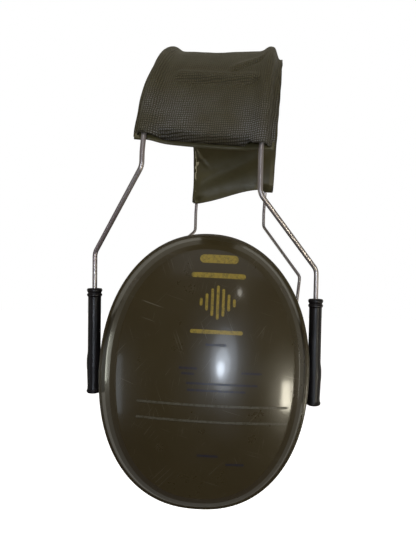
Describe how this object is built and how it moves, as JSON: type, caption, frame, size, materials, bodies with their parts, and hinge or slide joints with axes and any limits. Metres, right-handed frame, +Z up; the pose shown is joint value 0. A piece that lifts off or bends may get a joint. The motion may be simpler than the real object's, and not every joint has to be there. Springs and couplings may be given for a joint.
{
  "type": "headband earmuffs",
  "caption": "Headband hearing protector: oval olive ear cups with soft cushions, sliding on a sprung twin-wire band with a padded vinyl cover.",
  "frame": {"origin": "middle of the padded underside of the headband's crown, where it rests on the head", "axes": "+Z up towards the crown, Y from ear to ear with the left cup at -Y, and the wearer faces -X"},
  "size_m": [0.1072, 0.1442, 0.2224],
  "materials": {
    "steel_wire": "bright drawn stainless spring wire",
    "embossed_vinyl": "olive vinyl with a fine cross-hatched emboss, semi-gloss",
    "smooth_vinyl": "smooth olive vinyl, satin",
    "band_foam": "pale yellow open-cell foam",
    "guide_plastic": "black satin moulded plastic",
    "bush_nylon": "black nylon",
    "pin_nylon": "black nylon",
    "olive_shell": "glossy dark olive moulded plastic with fine scratches",
    "black_case": "black satin moulded plastic",
    "seal_rubber": "matt black rubber",
    "absorber_foam": "charcoal open-cell foam",
    "plate_plastic": "black moulded plastic",
    "cushion_vinyl": "soft black vinyl foil"
  },
  "bodies": {
    "left_band": {"left_front_wire": "steel_wire", "left_rear_wire": "steel_wire", "left_cover_skin": "embossed_vinyl", "left_cover_lining": "smooth_vinyl", "left_pad_foam": "band_foam"},
    "left_tubes": {"left_front_guide_tube": "guide_plastic", "left_rear_guide_tube": "guide_plastic", "left_front_friction_bush": "bush_nylon", "left_rear_friction_bush": "bush_nylon", "left_front_pivot_pin": "pin_nylon", "left_rear_pivot_pin": "pin_nylon"},
    "left_cup": {"left_outer_shell": "olive_shell", "left_inner_shell": "black_case", "left_shell_seal": "seal_rubber", "left_foam_liner": "absorber_foam", "left_cushion_plate": "plate_plastic", "left_ear_cushion": "cushion_vinyl"},
    "right_band": {"right_front_wire": "steel_wire", "right_rear_wire": "steel_wire", "right_cover_skin": "embossed_vinyl", "right_cover_lining": "smooth_vinyl", "right_pad_foam": "band_foam"},
    "right_tubes": {"right_front_guide_tube": "guide_plastic", "right_rear_guide_tube": "guide_plastic", "right_front_friction_bush": "bush_nylon", "right_rear_friction_bush": "bush_nylon", "right_front_pivot_pin": "pin_nylon", "right_rear_pivot_pin": "pin_nylon"},
    "right_cup": {"right_outer_shell": "olive_shell", "right_inner_shell": "black_case", "right_shell_seal": "seal_rubber", "right_foam_liner": "absorber_foam", "right_cushion_plate": "plate_plastic", "right_ear_cushion": "cushion_vinyl"}
  },
  "joints": [
    {"name": "band_spread", "type": "hinge", "parent": "left_band", "child": "right_band", "pos_m": [0, 0, 0.0076], "axis": [1, 0, 0], "range_deg": [0, 38], "stiffness_Nm_per_rad": 3.1},
    {"name": "left_cup_height", "type": "slide", "parent": "left_band", "child": "left_tubes", "axis": [0, -0.0663, 0.9978], "range_m": [-0.024, 0.008]},
    {"name": "left_cup_tilt", "type": "hinge", "parent": "left_tubes", "child": "left_cup", "pos_m": [0, -0.04698, -0.1484], "axis": [0.9996, 0, -0.0276], "range_deg": [-20, 20]},
    {"name": "right_cup_height", "type": "slide", "parent": "right_band", "child": "right_tubes", "axis": [0.1043, 0.0663, 0.9923], "range_m": [-0.014, 0.018]},
    {"name": "right_cup_tilt", "type": "hinge", "parent": "right_tubes", "child": "right_cup", "pos_m": [-0.00579, 0.04632, -0.1581], "axis": [0.9945, 0, -0.1045], "range_deg": [-20, 20]}
  ]
}
